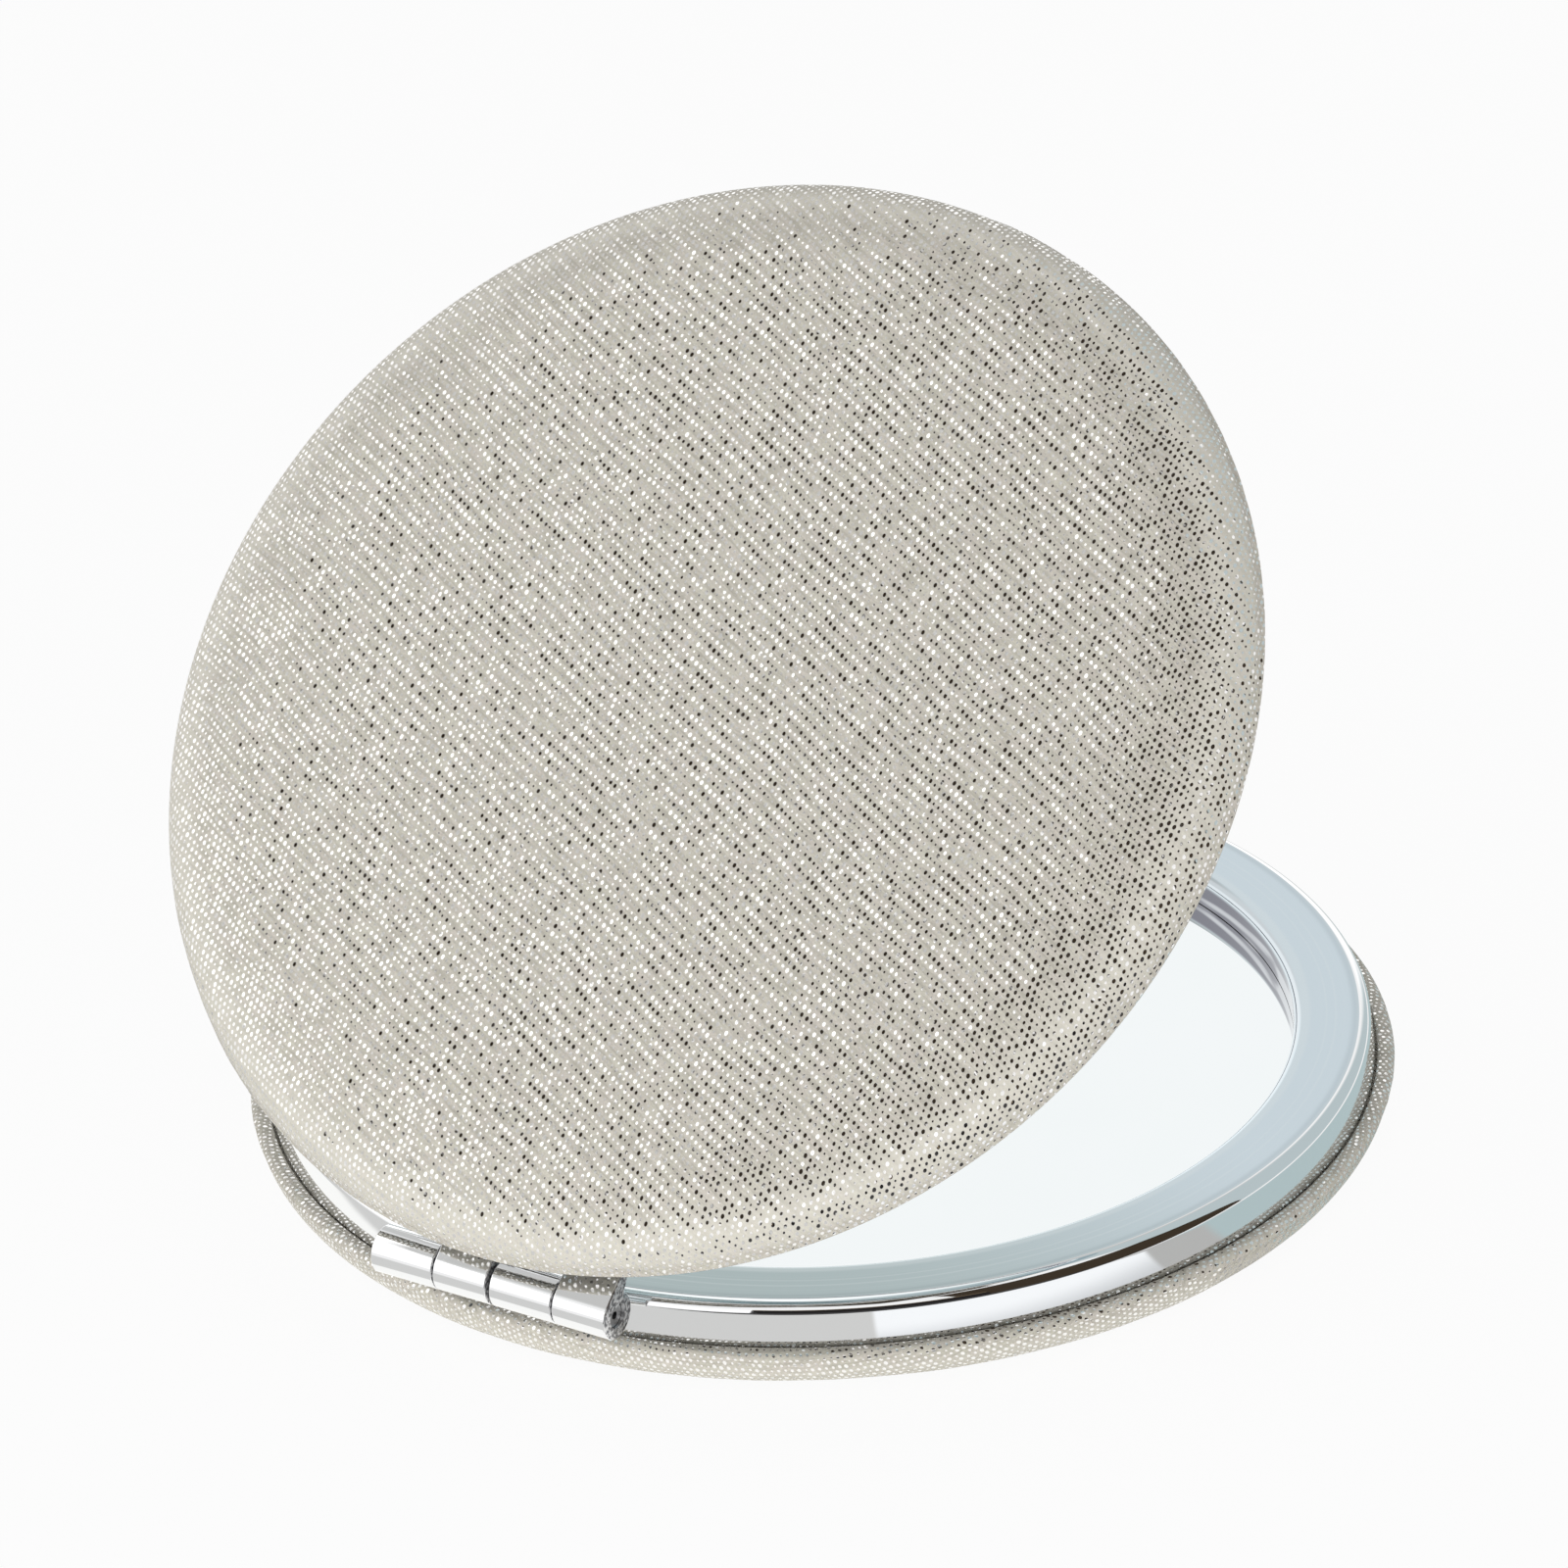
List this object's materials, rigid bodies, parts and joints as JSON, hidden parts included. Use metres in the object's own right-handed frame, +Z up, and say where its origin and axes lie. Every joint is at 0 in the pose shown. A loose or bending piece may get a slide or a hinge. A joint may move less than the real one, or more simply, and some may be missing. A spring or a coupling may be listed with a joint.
{
  "type": "compact mirror",
  "caption": "Round folding pocket mirror: two leather-covered padded halves in chrome frames, joined by a knuckle hinge, with a flat and a magnifying glass.",
  "frame": {"origin": "middle of the base's flat underside, on the surface that the base rests on", "axes": "+Z up, normal to the base's mirror; the hinge axis runs along X on the +Y side; the lid opens on the -Y side"},
  "size_m": [0.07, 0.0728, 0.0553],
  "materials": {
    "chrome_plate": "bright plated zinc casting",
    "mirror_glass": "silvered glass",
    "tape": "double-sided foam tape",
    "backing_plate": "moulded board",
    "foam": "soft foam sheet",
    "leather": "cross-grained coated leather with fine glossy dots",
    "magnet": "nickel-plated magnet",
    "pin_steel": "rolled steel pin"
  },
  "bodies": {
    "base": {"base_frame": "chrome_plate", "base_mirror": "mirror_glass", "base_mirror_tape": "tape", "base_backing_plate": "backing_plate", "base_foam_pad": "foam", "base_leather_cover": "leather", "base_magnet": "magnet", "hinge_pin": "pin_steel"},
    "lid": {"lid_frame": "chrome_plate", "lid_magnifying_mirror": "mirror_glass", "lid_mirror_foam_ring": "tape", "lid_backing_plate": "backing_plate", "lid_foam_pad": "foam", "lid_leather_cover": "leather", "lid_magnet": "magnet"}
  },
  "joints": [
    {"name": "lid_hinge", "type": "hinge", "parent": "base", "child": "lid", "pos_m": [0, 0.0353, 0.0059], "axis": [-1, 0, 0], "range_deg": [-41, 139]}
  ]
}
